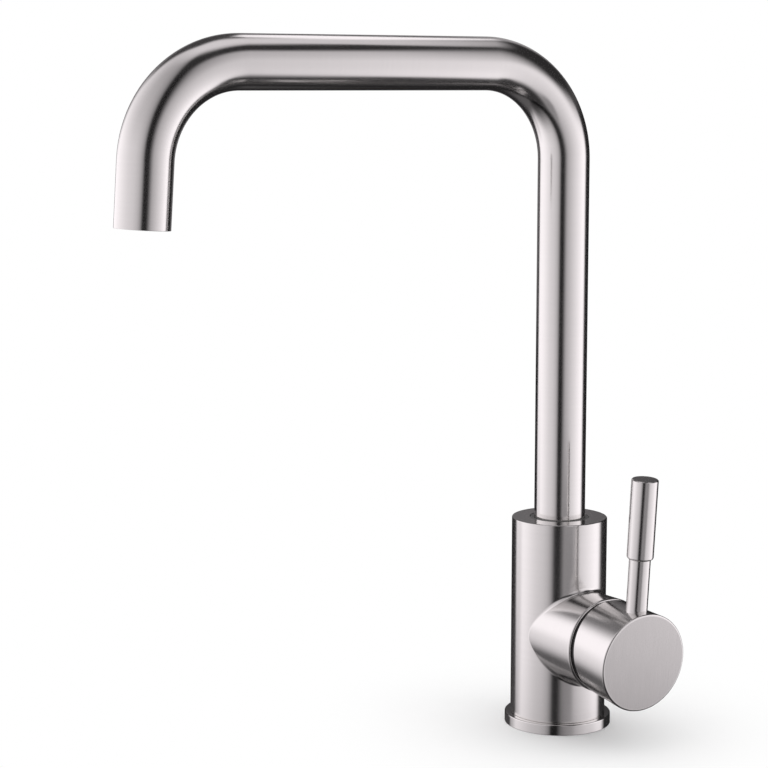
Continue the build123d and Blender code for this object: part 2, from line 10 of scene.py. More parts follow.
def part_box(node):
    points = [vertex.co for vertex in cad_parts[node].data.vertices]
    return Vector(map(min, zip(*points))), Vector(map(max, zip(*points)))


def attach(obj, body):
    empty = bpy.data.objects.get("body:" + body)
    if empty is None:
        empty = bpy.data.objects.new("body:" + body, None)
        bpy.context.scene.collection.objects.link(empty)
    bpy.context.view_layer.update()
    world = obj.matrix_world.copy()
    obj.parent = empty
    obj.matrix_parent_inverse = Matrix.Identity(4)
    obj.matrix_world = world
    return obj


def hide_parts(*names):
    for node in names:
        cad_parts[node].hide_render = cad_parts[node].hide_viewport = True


# Kitchen mixer tap in brushed steel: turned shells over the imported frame, a light tent and a camera.
# Metres, +Z up, origin on the deck under the column, spout towards -Y, lever barrel along +X.

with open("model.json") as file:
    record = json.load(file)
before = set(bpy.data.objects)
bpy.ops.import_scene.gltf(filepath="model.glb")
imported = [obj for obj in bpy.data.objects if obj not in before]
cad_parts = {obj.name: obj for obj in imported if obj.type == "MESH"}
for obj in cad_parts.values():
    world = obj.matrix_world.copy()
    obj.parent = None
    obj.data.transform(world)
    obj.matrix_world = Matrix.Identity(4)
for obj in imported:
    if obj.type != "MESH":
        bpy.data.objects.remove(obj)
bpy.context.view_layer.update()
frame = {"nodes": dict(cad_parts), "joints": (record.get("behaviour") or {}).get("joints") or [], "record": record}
nodes = frame["nodes"]
record = frame["record"]
joints = {joint["name"]: joint for joint in frame["joints"]}
node_slots = {part["node"]: part["material_slot"] for part in record["subparts"]}
slot_colours = {slot["slot"]: slot["base_color"] for slot in record["materials"]}

# Sizes read from the frame
column_low, column_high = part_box("mixer_body")
column_r = -column_low.x
column_top = column_high.z
stub_end = column_high.x
ring_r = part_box("base_ring")[1].x
ring_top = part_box("base_ring")[1].z
seal_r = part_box("deck_seal")[1].x
seal_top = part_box("deck_seal")[1].z
tube_low, tube_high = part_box("spout_tube")
tube_r = tube_high.x
tube_seat = tube_low.z
run_height = tube_high.z - tube_r
bush_low, bush_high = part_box("spout_upper_bush")
dome_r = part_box("cartridge_dome")[1].y
dome_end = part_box("cartridge_dome")[1].x
rod_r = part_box("lever_rod")[1].y
grip_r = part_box("lever_grip")[1].y
pivot = Vector(joints["handle_turn"]["pos_m"])
barrel_height = pivot.z

# Edges and fits
fine_edge = 0.0002
# Radius, for each unit of a chamfer, at which its two rounded corners nearly meet
full_round = 1.6
seat_gap = 0.00003
end_gap = 0.0005

# Column, foot and stub
stub_inset = 0.0003
stub_r = column_r - stub_inset
stub_narrowing = math.tan(math.radians(1.15))
stub_blend = 0.002
stub_edge = 0.0007
column_edge = 0.0006
foot_inset = 0.0025
foot_r = column_r - foot_inset
thread_r = 0.0195
thread_start = 0.0347
chamber_r = 0.0176
chamber_floor = 0.017
socket_clearance = 0.001
socket_r = tube_r + socket_clearance
socket_floor = 0.062
upper_socket_r = bush_high.x + seat_gap
ring_edge = 0.0005
seal_width = 0.002

# Holes in the column
stud_place, stud_r, stud_depth = (-0.010, 0.0), 0.0034, 0.020
inlet_places = [(0.004, -0.009), (0.004, 0.009)]
inlet_thread_r, inlet_depth = 0.0045, 0.012
inlet_bore_r, inlet_bore_depth = 0.0035, 0.045
thread_pitch, thread_height = 0.001, 0.0004
retainer_height, retainer_r, retainer_depth = 0.0775, 0.00248, 0.0065
retainer_patch = 0.0033

# Dome behind the cap
dome_start = stub_end + seat_gap
dome_bore_r = thread_r
dome_mouth_r = 0.0121
dome_wall = 0.0011
dome_skirt_end = stub_end + 0.002

# Handle cap, in stations along its own axis from the pivot
rest_tilt = math.radians(4.3)
cap_reach = 0.0249
cap_edge = 0.0005
cap_narrowing = math.tan(math.radians(2.1))
cap_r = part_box("handle_cap")[1].y + cap_edge * cap_narrowing
cap_wall = 0.00175
cap_bore_r = cap_r - cap_wall
cap_bore_reach = 0.011
rim_top = -0.00208
rim_bottom = 0.00457
rim_slope = (rim_bottom - rim_top) / (2 * cap_r)
lever_reach = 0.0172
lever_seat = 0.01865
lever_patch = 0.0061
spigot_r = 0.003
spigot_end = 0.00815
plug_reach, plug_r, plug_patch = 0.0155, 0.00203, 0.003
plug_hole_end = 0.0145

# Lever, in stations up its own axis from the cap's axis
grip_start = 0.047
grip_top = 0.0839
grip_shoulder = 0.0012
grip_edge = 0.0004
grip_bore_r = 0.0035
grip_bore_end = 0.061
grip_bore_roof = grip_bore_end + end_gap
rod_foot = spigot_end + end_gap

# Spout
tube_wall = 0.001
tube_bore_r = tube_r - tube_wall
bend_r = 0.0436
outlet_lean = math.radians(3.9)
outlet_drop = 0.0284
outlet_edge = 0.0002

# Camera: azimuth round +Z from the -Y side, pitch down, and where the frame's middle looks
camera_azimuth = math.radians(59.5)
camera_pitch = math.radians(8.05)
camera_distance = 0.9899
camera_aside = -0.08333
camera_height = 0.16331
camera_lens = 98.6
camera_sensor = 36.0
camera_clip = 0.01

# Numbers of steps round and along the shells
column_steps = 192
blend_steps = 12
spine_rounds = 30
back_steps = 64
inlet_steps = 40
dome_steps, dome_rows = 160, 10
cap_side_steps, face_rows = 56, 8
lever_steps = 96
tube_steps, bend_steps = 112, 40
patch_rows = 5
stage_steps, tent_rows = 96, 48

WELD = 1e-6
Hole = namedtuple("Hole", "angle level radius patch steps")


class Shell:
    """A welded mesh of patches that keeps the true normal and brush grain of every face corner."""

    def __init__(self):
        self.numbers = {}
        self.points = []
        self.faces = []
        self.normals = []
        self.grains = []

    def number(self, point):
        key = tuple(round(value / WELD) for value in point)
        if key not in self.numbers:
            self.numbers[key] = len(self.points)
            self.points.append(tuple(point))
        return self.numbers[key]

    def face(self, corners):
        """Add a face from (point, normal, grain) corners, wound to face along its normals."""
        kept = {}
        for point, normal, grain in corners:
            kept.setdefault(self.number(point), (normal, grain))
        order = list(kept)
        if len(order) < 3:
            return
        places = [Vector(self.points[number]) for number in order]
        area = sum((a.cross(b) for a, b in zip(places, places[1:] + places[:1])), Vector((0, 0, 0)))
        facing = sum((kept[number][0] for number in order), Vector((0, 0, 0)))
        if area.dot(facing) < 0:
            order.reverse()
        self.faces.append(order)
        self.normals += [kept[number][0] for number in order]
        self.grains += [kept[number][1] for number in order]

    def skin(self, rows, closed=True):
        """Faces between neighbouring rows of corners; a closed row joins its end to its start."""
        for row, after in zip(rows, rows[1:]):
            for i in range(len(row) if closed else len(row) - 1):
                j = (i + 1) % len(row)
                self.face([row[i], row[j], after[j], after[i]])

    def finish(self, name, material):
        mesh = bpy.data.meshes.new(name)
        mesh.from_pydata(self.points, [], self.faces)
        mesh.polygons.foreach_set("use_smooth", [True] * len(self.faces))
        grain = mesh.attributes.new("grain", "FLOAT_VECTOR", "CORNER")
        grain.data.foreach_set("vector", [value for vector in self.grains for value in vector])
        mesh.normals_split_custom_set(self.normals)
        mesh.materials.append(material)
        piece = bpy.data.objects.new(name, mesh)
        bpy.context.scene.collection.objects.link(piece)
        return piece


def axis_frame(origin, along, start):
    """Matrix of a turning axis: local Z runs along it and local X points at angle zero."""
    z = Vector(along).normalized()
    x = Vector(start).normalized()
    y = z.cross(x)
    return Matrix.Translation(origin) @ Matrix((x, y, z)).transposed().to_4x4()


def even_angles(count):
    return [2 * math.pi * i / count for i in range(count)]


def spread(start, end, count):
    """Evenly spaced values from start to end, both included."""
    return [start + (end - start) * i / count for i in range(count + 1)]


def rounded(corners, steps=6):
    """Stretches of (r, h, normal r, normal h) along a profile whose corners (r, h, radius) are rounded.

    The material lies to the left of the direction of travel.
    """
    points = [Vector(corner[:2]) for corner in corners]
    radii = [corner[2] if len(corner) > 2 else 0.0 for corner in corners]
    stretches = []
    start = points[0]
    for i in range(1, len(points)):
        along = (points[i] - points[i - 1]).normalized()
        normal = Vector((along.y, -along.x))
        end = points[i]
        arc = []
        if radii[i] > 0 and i + 1 < len(points):
            after = (points[i + 1] - points[i]).normalized()
            turn = math.atan2(along.x * after.y - along.y * after.x, along.dot(after))
            side = math.copysign(1.0, turn)
            cut = radii[i] * math.tan(abs(turn) / 2)
            end = points[i] - along * cut
            centre = end - normal * radii[i] * side
            for step in range(steps + 1):
                swing = Matrix.Rotation(turn * step / steps, 2)
                facing = swing @ normal
                arc.append((*(centre + facing * radii[i] * side), *facing))
        if (end - start).length > WELD:
            stretches.append([(*start, *normal), (*end, *normal)])
        if arc:
            stretches.append(arc)
            end = Vector(arc[-1][:2])
        start = end
    return stretches


def ring(axis, angles, r, h, normal_r, normal_h, grain_r, grain_h):
    """One row of corners round a turning axis."""
    turned = axis.to_3x3()
    row = []
    for angle in angles:
        c, s = math.cos(angle), math.sin(angle)
        point = axis @ Vector((r * c, r * s, h))
        normal = turned @ Vector((normal_r * c, normal_r * s, normal_h))
        row.append((point, normal, (grain_r * c, grain_r * s, grain_h)))
    return row


def turn_profile(shell, axis, angles, stretches, grain_r):
    """Skin a profile's stretches round an axis, with the brush grain running round it."""
    travelled = 0.0
    for stretch in stretches:
        rows = []
        for i, (r, h, normal_r, normal_h) in enumerate(stretch):
            if i:
                travelled += math.hypot(r - stretch[i - 1][0], h - stretch[i - 1][1])
            rows.append(ring(axis, angles, r, h, normal_r, normal_h, grain_r, travelled))
        shell.skin(rows)


def turned_piece(name, axis, corners, material, count=128):
    """A piece turned from one rounded profile."""
    shell = Shell()
    radius = max(corner[0] for corner in corners)
    turn_profile(shell, axis, even_angles(count), rounded(corners), radius)
    return shell.finish(name, material)


def drilled_wall(shell, axis, radius_at, widening, columns, levels, holes, closed, low=None):
    """A turned wall with round stepped holes, each in a square patch of the wall's own grid lines."""
    turned = axis.to_3x3()

    def at(angle, level):
        c, s = math.cos(angle), math.sin(angle)
        r = radius_at(level)
        normal = Vector((c, s, -widening)).normalized()
        return axis @ Vector((r * c, r * s, level)), turned @ normal, (r * c, r * s, level)

    def aside(hole, angle):
        return abs(angle - hole.angle) * radius_at(hole.level)

    def inside(hole, angle, level):
        return aside(hole, angle) < hole.patch and abs(level - hole.level) < hole.patch

    def start_level(angle, j):
        return low(angle) if low and j == 0 else levels[j]

    full = columns + [columns[0] + 2 * math.pi] if closed else columns
    for a, b in zip(full, full[1:]):
        for j in range(len(levels) - 1):
            if any(inside(hole, (a + b) / 2, (levels[j] + levels[j + 1]) / 2) for hole in holes):
                continue
            below_a, below_b = at(a, start_level(a, j)), at(b, start_level(b, j))
            shell.face([below_a, below_b, at(b, levels[j + 1]), at(a, levels[j + 1])])
    for hole in holes:
        across = [a for a in full if aside(hole, a) <= hole.patch + WELD]
        along = [h for h in levels if abs(h - hole.level) <= hole.patch + WELD]
        loop = [(a, along[0]) for a in across[:-1]] + [(across[-1], h) for h in along[:-1]]
        loop += [(a, along[-1]) for a in across[:0:-1]] + [(across[0], h) for h in along[:0:-1]]
        drill(shell, axis, radius_at, hole, loop, at)


def drill(shell, axis, radius_at, hole, loop, at):
    """Fill the patch round a hole from its square loop to its circle, then line the stepped bore."""
    turned = axis.to_3x3()
    outward = Vector((math.cos(hole.angle), math.sin(hole.angle), 0))
    aside = Vector((-math.sin(hole.angle), math.cos(hole.angle), 0))
    spokes = []
    for angle, level in loop:
        spoke = Vector((radius_at(level) * (angle - hole.angle), level - hole.level)).normalized()
        spokes.append(spoke)
    rim = []
    for spoke in spokes:
        level = hole.level + hole.radius * spoke.y
        bend = math.asin(hole.radius * spoke.x / radius_at(level))
        rim.append((hole.angle + bend, level))
    rows = []
    for share in spread(0.0, 1.0, patch_rows):
        row = []
        for (angle, level), (rim_angle, rim_level) in zip(loop, rim):
            row.append(at(angle + (rim_angle - angle) * share, level + (rim_level - level) * share))
        rows.append(row)
    shell.skin(rows)

    def bore_row(radius, depth, facing_out):
        row = []
        for spoke in spokes:
            level = hole.level + radius * spoke.y
            reach = math.sqrt(radius_at(level) ** 2 - (radius * spoke.x) ** 2) if depth is None else depth
            local = outward * reach + aside * radius * spoke.x + Vector((0, 0, level))
            inward = -(aside * spoke.x + Vector((0, 0, spoke.y)))
            normal = turned @ (outward if facing_out else inward)
            row.append((axis @ local, normal, (radius * spoke.x, radius * spoke.y, reach)))
        return row

    top = None
    for i, (radius, depth) in enumerate(hole.steps):
        shell.skin([bore_row(radius, top, False), bore_row(radius, depth, False)])
        inner = hole.steps[i + 1][0] if i + 1 < len(hole.steps) else 0.0
        shell.skin([bore_row(radius, depth, True), bore_row(inner, depth, True)])
        top = depth


def patch_lines(centre, half, count=12):
    return spread(centre - half, centre + half, count)


# Materials: scales of their noises for each metre, the stretched ones along and across the lines
fine_lines = (60.0, 60.0, 9000.0)
broad_lines = (25.0, 25.0, 900.0)
tool_marks = (900.0, 900.0, 6000.0)
smudge_scale = 45.0
mottle_scale = 400.0
tone_scale = 120.0
noise_middle = (0.3, 0.7)
smudge_low, smudge_high = -0.01, 0.015


class Nodes:
    """Shorthand for building one material's nodes."""

    def __init__(self, name):
        self.material = bpy.data.materials.new(name)
        self.material.use_nodes = True
        self.tree = self.material.node_tree
        self.shader = self.tree.nodes["Principled BSDF"]

    def add(self, kind, **settings):
        node = self.tree.nodes.new("ShaderNode" + kind)
        for key, value in settings.items():
            setattr(node, key, value)
        return node

    def link(self, source, target):
        self.tree.links.new(source, target)

    def feed(self, socket, value):
        """Set a socket to a plain number, or link another node's output to it."""
        if isinstance(value, (int, float)):
            socket.default_value = value
        else:
            self.link(value, socket)

    def maths(self, operation, *values, **settings):
        node = self.add("Math", operation=operation, **settings)
        for socket, value in zip(node.inputs, values):
            self.feed(socket, value)
        return node.outputs[0]

    def mapped(self, source, start, end, low=0.0, high=1.0, kind="LINEAR"):
        """A value's range from start to end mapped onto low to high."""
        node = self.add("MapRange", interpolation_type=kind)
        self.link(source, node.inputs["Value"])
        ends = {"From Min": start, "From Max": end, "To Min": low, "To Max": high}
        for name, value in ends.items():
            node.inputs[name].default_value = value
        return node.outputs["Result"]

    def scaled(self, source, scale):
        """A vector socket stretched by a scale for each axis."""
        node = self.add("VectorMath", operation="MULTIPLY")
        self.link(source, node.inputs[0])
        node.inputs[1].default_value = scale
        return node.outputs[0]

    def noise(self, vector, scale=1.0, detail=2.0, roughness=0.5):
        node = self.add("TexNoise")
        self.link(vector, node.inputs["Vector"])
        node.inputs["Scale"].default_value = scale
        node.inputs["Detail"].default_value = detail
        node.inputs["Roughness"].default_value = roughness
        return node.outputs["Fac"]

    def ranged(self, source, low, high):
        """Map a noise's middle range onto low to high."""
        return self.mapped(source, *noise_middle, low, high)

    def varied(self, source, middle, share):
        """Value that varies about its middle by a share, following a noise."""
        return self.ranged(source, middle * (1 - share), middle * (1 + share))

    def tinted(self, source, colour, change):
        """Colour that varies about its own value by a share, following a noise."""
        node = self.add("Mix", data_type="RGBA")
        self.link(source, node.inputs["Factor"])
        node.inputs["A"].default_value = (*[max(0.0, value * (1 - change)) for value in colour], 1.0)
        node.inputs["B"].default_value = (*[min(1.0, value * (1 + change)) for value in colour], 1.0)
        self.link(node.outputs["Result"], self.shader.inputs["Base Color"])

    def bumped(self, height, strength, distance):
        node = self.add("Bump")
        self.link(height, node.inputs["Height"])
        node.inputs["Strength"].default_value = strength
        node.inputs["Distance"].default_value = distance
        self.link(node.outputs["Normal"], self.shader.inputs["Normal"])


def brushed(name, colour, rough, strength):
    """Steel with fine brush lines that follow the grain of the turned shells."""
    kit = Nodes(name)
    grain = kit.add("Attribute", attribute_name="grain").outputs["Vector"]
    fine = kit.noise(kit.scaled(grain, fine_lines), detail=3.0)
    broad = kit.noise(kit.scaled(grain, broad_lines))
    smudge = kit.noise(kit.add("TexCoord").outputs["Object"], smudge_scale)
    kit.shader.inputs["Metallic"].default_value = 1.0
    kit.tinted(broad, colour, change=0.02)
    lines = kit.varied(fine, rough, share=0.2)
    smudges = kit.ranged(smudge, smudge_low, smudge_high)
    kit.link(kit.maths("ADD", lines, smudges), kit.shader.inputs["Roughness"])
    kit.bumped(fine, strength, distance=0.00002)
    return kit.material


def plain_metal(name, colour, rough):
    """Turned small part: faint tool marks over a mottled tone."""
    kit = Nodes(name)
    place = kit.add("TexCoord").outputs["Object"]
    marks = kit.noise(kit.scaled(place, tool_marks))
    tone = kit.noise(place, mottle_scale, detail=3.0)
    kit.shader.inputs["Metallic"].default_value = 1.0
    kit.tinted(tone, colour, change=0.06)
    kit.link(kit.varied(marks, rough, share=0.25), kit.shader.inputs["Roughness"])
    kit.bumped(marks, strength=0.08, distance=0.00005)
    return kit.material


def moulded(name, colour, rough, grain_size, strength):
    """Moulded plastic, rubber or lapped ceramic: fine grain with a slight change of tone."""
    kit = Nodes(name)
    place = kit.add("TexCoord").outputs["Object"]
    grain = kit.noise(place, 1.0 / grain_size, detail=3.0, roughness=0.6)
    tone = kit.noise(place, tone_scale)
    kit.tinted(tone, colour, change=0.05)
    kit.link(kit.varied(grain, rough, share=0.15), kit.shader.inputs["Roughness"])
    kit.bumped(grain, strength, distance=grain_size * 0.2)
    return kit.material


finishes = {
    "brushed_steel": (brushed, {"rough": 0.17, "strength": 0.06}),
    # The dome's dark colour from model.json is painted shade, darkening the seam between stub and cap
    "dome_steel": (brushed, {"rough": 0.3, "strength": 0.1}),
    "screw_steel": (plain_metal, {"rough": 0.32}),
    "brass": (plain_metal, {"rough": 0.3}),
    "seal_rubber": (moulded, {"rough": 0.7, "grain_size": 0.0002, "strength": 0.25}),
    "cartridge_plastic": (moulded, {"rough": 0.45, "grain_size": 0.0003, "strength": 0.15}),
    "bush_plastic": (moulded, {"rough": 0.5, "grain_size": 0.0002, "strength": 0.2}),
    "aerator_plastic": (moulded, {"rough": 0.4, "grain_size": 0.0002, "strength": 0.12}),
    "ceramic": (moulded, {"rough": 0.25, "grain_size": 0.0004, "strength": 0.05}),
}
materials = {slot: make(slot, slot_colours[slot], **looks) for slot, (make, looks) in finishes.items()}

# The same steel as it is finished on the spout, the base ring and the cap's face; the face is rougher, and its
# colour is darkened as painted shade
steel_colour = slot_colours["brushed_steel"]
# Share of the steel's colour kept on the cap's face: painted shade
face_painted_shade = 0.8
tube_steel = brushed("tube_steel", steel_colour, rough=0.15, strength=0.04)
ring_steel = brushed("ring_steel", steel_colour, rough=0.1, strength=0.04)
face_steel_painted_shade = brushed("face_steel_painted_shade", [value * face_painted_shade for value in steel_colour], rough=0.3, strength=0.12)

for node, slot in node_slots.items():
    nodes[node].data.materials.clear()
    nodes[node].data.materials.append(materials[slot])

# Turning axes
upright = axis_frame((0, 0, 0), (0, 0, 1), (1, 0, 0))
barrel = axis_frame((0, 0, barrel_height), (1, 0, 0), (0, 0, 1))
cap_along = Vector((math.cos(rest_tilt), 0, -math.sin(rest_tilt)))
lever_along = Vector((math.sin(rest_tilt), 0, math.cos(rest_tilt)))
cap_axis = axis_frame(pivot, cap_along, lever_along)
lever_axis = axis_frame(pivot + cap_along * lever_reach, lever_along, (0, 1, 0))


def dress(piece, node, body):
    """Ride a piece on a body in place of the node that it stands for."""
    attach(piece, body)
    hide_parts(node)


# Column


def stub_radius(station):
    """Radius of the stub's wall, which narrows from its end towards the column."""
    return stub_r - (stub_end - station) * stub_narrowing


def blend_spine(phi):
    """Middle of the rolling ball that rounds the joint of stub and column, and its two directions."""
    wall_normal = Vector((-stub_narrowing, -math.sin(phi), math.cos(phi)))
    from_stub = wall_normal.normalized()
    away = column_r + stub_blend
    station = column_r
    for _ in range(spine_rounds):
        y = (stub_radius(station) * -math.sin(phi)) + from_stub.y * stub_blend
        station = math.sqrt(away**2 - y**2) - from_stub.x * stub_blend
    r = stub_radius(station)
    touch = Vector((station, -r * math.sin(phi), barrel_height + r * math.cos(phi)))
    middle = touch + from_stub * stub_blend
    from_column = Vector((middle.x / away, middle.y / away, 0))
    return middle, from_stub, from_column


def column_corner(angle, height):
    """Corner on the column's wall, with its normal and grain."""
    c, s = math.cos(angle), math.sin(angle)
    place = Vector((column_r * c, column_r * s, height))
    return place, Vector((c, s, 0)), tuple(place)


def build_column():
    shell = Shell()
    phis = even_angles(column_steps)
    half = len(phis) // 2
    quarter = half // 2
    patch_levels = patch_lines(retainer_height, retainer_patch)
    wall_low = ring_top + fine_edge
    wall_high = column_top - column_edge
    stub_wall_end = stub_end - 2 * stub_edge

    # Stub wall, then the rounded blend towards the column
    shares = spread(0.0, 1.0, blend_steps)
    stub_row, blend_rows = [], [[] for _ in shares]
    for phi in phis:
        middle, from_stub, from_column = blend_spine(phi)
        place = (stub_r * math.cos(phi), stub_r * math.sin(phi))
        r = stub_radius(stub_wall_end)
        end = Vector((stub_wall_end, -r * math.sin(phi), barrel_height + r * math.cos(phi)))
        stub_row.append((end, from_stub, (*place, end.x)))
        for row, share in zip(blend_rows, shares):
            facing = from_stub.slerp(from_column, share)
            sweep = from_stub.angle(from_column) * share * stub_blend
            row.append((middle - facing * stub_blend, facing, (*place, middle.x - sweep)))
    shell.skin([stub_row, blend_rows[0]])
    shell.skin(blend_rows)

    # Column wall above and below the blend, in upright strips from its edge
    upper = phis[-quarter:] + phis[: quarter + 1]
    lower = phis[quarter : half + quarter + 1]
    upper_rows, lower_rows, front = [], [], []
    for phi in upper:
        middle, _, from_column = blend_spine(phi)
        angle = math.atan2(from_column.y, from_column.x)
        front.append(angle)
        upper_rows.append([column_corner(angle, h) for h in [middle.z, *patch_levels, wall_high]])
    for phi in lower:
        middle, _, from_column = blend_spine(phi)
        angle = math.atan2(from_column.y, from_column.x)
        lower_rows.append([column_corner(angle, h) for h in [wall_low, middle.z]])
    shell.skin(upper_rows, closed=False)
    shell.skin(lower_rows, closed=False)

    # Back of the column, with the hole of the retaining screw
    front.sort()
    screw_angle = math.pi / 2
    patch_angles = patch_lines(screw_angle, retainer_patch / column_r)
    back = [front[-1], *patch_angles, *spread(patch_angles[-1], front[0] + 2 * math.pi, back_steps)[1:]]
    bore = [(retainer_r, column_r - retainer_depth)]
    hole = Hole(screw_angle, retainer_height, retainer_r, retainer_patch, bore)
    levels = [wall_low, barrel_height, *patch_levels, wall_high]
    drilled_wall(shell, upright, lambda level: column_r, 0.0, back, levels, [hole], closed=False)

    # Ends: top with the spout socket, stub end with the cartridge chamber, step down to the foot
    angles = front + back[1:-1]
    top = [
        (column_r, wall_high),
        (column_r, column_top, column_edge),
        (upper_socket_r, column_top, fine_edge),
        (upper_socket_r, bush_low.z),
        (socket_r, bush_low.z),
        (socket_r, socket_floor),
        (0.0, socket_floor),
    ]
    turn_profile(shell, upright, angles, rounded(top), column_r)
    mouth = [
        (stub_radius(stub_wall_end), stub_wall_end),
        (stub_radius(stub_end - stub_edge), stub_end - stub_edge, stub_edge * full_round),
        (stub_r - stub_edge, stub_end, stub_edge * full_round),
        (thread_r, stub_end, fine_edge),
        (thread_r, thread_start),
        (chamber_r, thread_start),
        (chamber_r, chamber_floor),
        (0.0, chamber_floor),
    ]
    turn_profile(shell, barrel, phis, rounded(mouth), stub_r)
    foot = [
        (foot_r, 0.0),
        (foot_r, ring_top),
        (column_r, ring_top, fine_edge),
        (column_r, wall_low),
    ]
    turn_profile(shell, upright, angles, rounded(foot), column_r)
    foot_face(shell, [(foot_r * math.cos(angle), foot_r * math.sin(angle)) for angle in angles])
    return shell.finish("column", materials["brushed_steel"])


def threaded_profile(radius, depth, pitch, height):
    """Upward profile of a thread's crests and roots in a bore of that radius."""
    turns = int(depth / pitch)
    points = []
    for i in range(turns):
        points += [(radius - height, i * pitch), (radius, (i + 0.5) * pitch)]
    return points + [(radius - height, turns * pitch)]


def foot_face(shell, outline):
    """Underside of the foot, with the threaded inlets and the threaded stud hole."""
    down = Vector((0, 0, -1))
    angles = even_angles(inlet_steps)
    holes = [(stud_place, stud_r, stud_depth, 0.0, stud_depth)]
    for place in inlet_places:
        holes.append((place, inlet_thread_r, inlet_depth, inlet_bore_r, inlet_bore_depth))
    loops = [[Vector((x, y, 0)) for x, y in outline]]
    for (x, y), radius, depth, bore_r, bore_depth in holes:
        axis = axis_frame((x, y, 0), (0, 0, 1), (1, 0, 0))
        profile = threaded_profile(radius, depth, thread_pitch, thread_height)
        mouth_r = profile[0][0]
        profile += [(bore_r, profile[-1][1])]
        if bore_r:
            profile += [(bore_r, bore_depth), (0.0, bore_depth)]
        turn_profile(shell, axis, angles, rounded(profile[::-1]), mouth_r)
        loops.append([Vector((x + mouth_r * math.cos(a), y + mouth_r * math.sin(a), 0)) for a in angles])
    points = [point for loop in loops for point in loop]
    for triangle in tessellate_polygon(loops):
        shell.face([(points[i], down, (points[i].y, 0.0, points[i].x)) for i in triangle])


dress(build_column(), "mixer_body", "body")

# Base ring, seal, bush and dome
ring_bore_r = foot_r + seat_gap
groove_r = seal_r + seat_gap
groove_bore_r = seal_r - seal_width - seat_gap
base_ring = turned_piece(
    "ring_under_column",
    upright,
    [
        (ring_bore_r, 0.0),
        (groove_bore_r, 0.0),
        (groove_bore_r, seal_top),
        (groove_r, seal_top),
        (groove_r, 0.0),
        (ring_r, 0.0, fine_edge),
        (ring_r, ring_top, ring_edge),
        (ring_bore_r, ring_top),
        (ring_bore_r, 0.0),
    ],
    ring_steel,
    column_steps,
)
dress(base_ring, "base_ring", "body")

seal_bore_r = groove_bore_r + 2 * seat_gap
seal = turned_piece(
    "foot_seal",
    upright,
    [
        (seal_bore_r, seal_top / 2),
        (seal_bore_r, 0.0, fine_edge),
        (seal_r, 0.0, fine_edge),
        (seal_r, seal_top, fine_edge),
        (seal_bore_r, seal_top, fine_edge),
        (seal_bore_r, seal_top / 2),
    ],
    materials["seal_rubber"],
)
dress(seal, "deck_seal", "body")

bush_bore_r = tube_r + 2 * seat_gap
bush = turned_piece(
    "spout_bush",
    upright,
    [
        (bush_bore_r, bush_low.z),
        (bush_high.x, bush_low.z),
        (bush_high.x, bush_high.z, fine_edge),
        (bush_bore_r, bush_high.z, fine_edge),
        (bush_bore_r, bush_low.z),
    ],
    materials["bush_plastic"],
)
dress(bush, "spout_upper_bush", "body")


def build_dome():
    """Spherical cover behind the cap, centred on the pivot; its dark colour is painted shade in the seam between
    stub and cap.
    """
    shell = Shell()
    outside = []
    for station in spread(dome_start - pivot.x, dome_end - pivot.x, dome_rows):
        r = math.sqrt(dome_r**2 - station**2)
        outside.append((r, pivot.x + station, r / dome_r, station / dome_r))
    roof = dome_end - dome_wall
    roof_r = math.sqrt((dome_r - dome_wall) ** 2 - (roof - pivot.x) ** 2)
    inside = rounded(
        [
            (outside[-1][0], dome_end),
            (dome_mouth_r, dome_end, fine_edge),
            (dome_mouth_r, roof),
            (roof_r, roof),
            (dome_bore_r, dome_skirt_end),
            (dome_bore_r, dome_start),
            (outside[0][0], dome_start),
        ]
    )
    turn_profile(shell, barrel, even_angles(dome_steps), [outside, *inside], dome_r)
    return shell.finish("dome_cover", materials["dome_steel"])


dress(build_dome(), "cartridge_dome", "body")


# Handle


def cap_radius(station):
    """Radius of the cap's wall, which narrows from the face to the rim."""
    return cap_r - (cap_reach - station) * cap_narrowing


def rim_station(height):
    """Station of the oblique rim at a height above the cap's axis."""
    return rim_top + (cap_r - height) * rim_slope


def rim_radius(angle):
    """Radius at which the narrowing wall meets the oblique rim."""
    middle_r = cap_radius(rim_station(0.0))
    return middle_r / (1 + cap_narrowing * rim_slope * math.cos(angle))


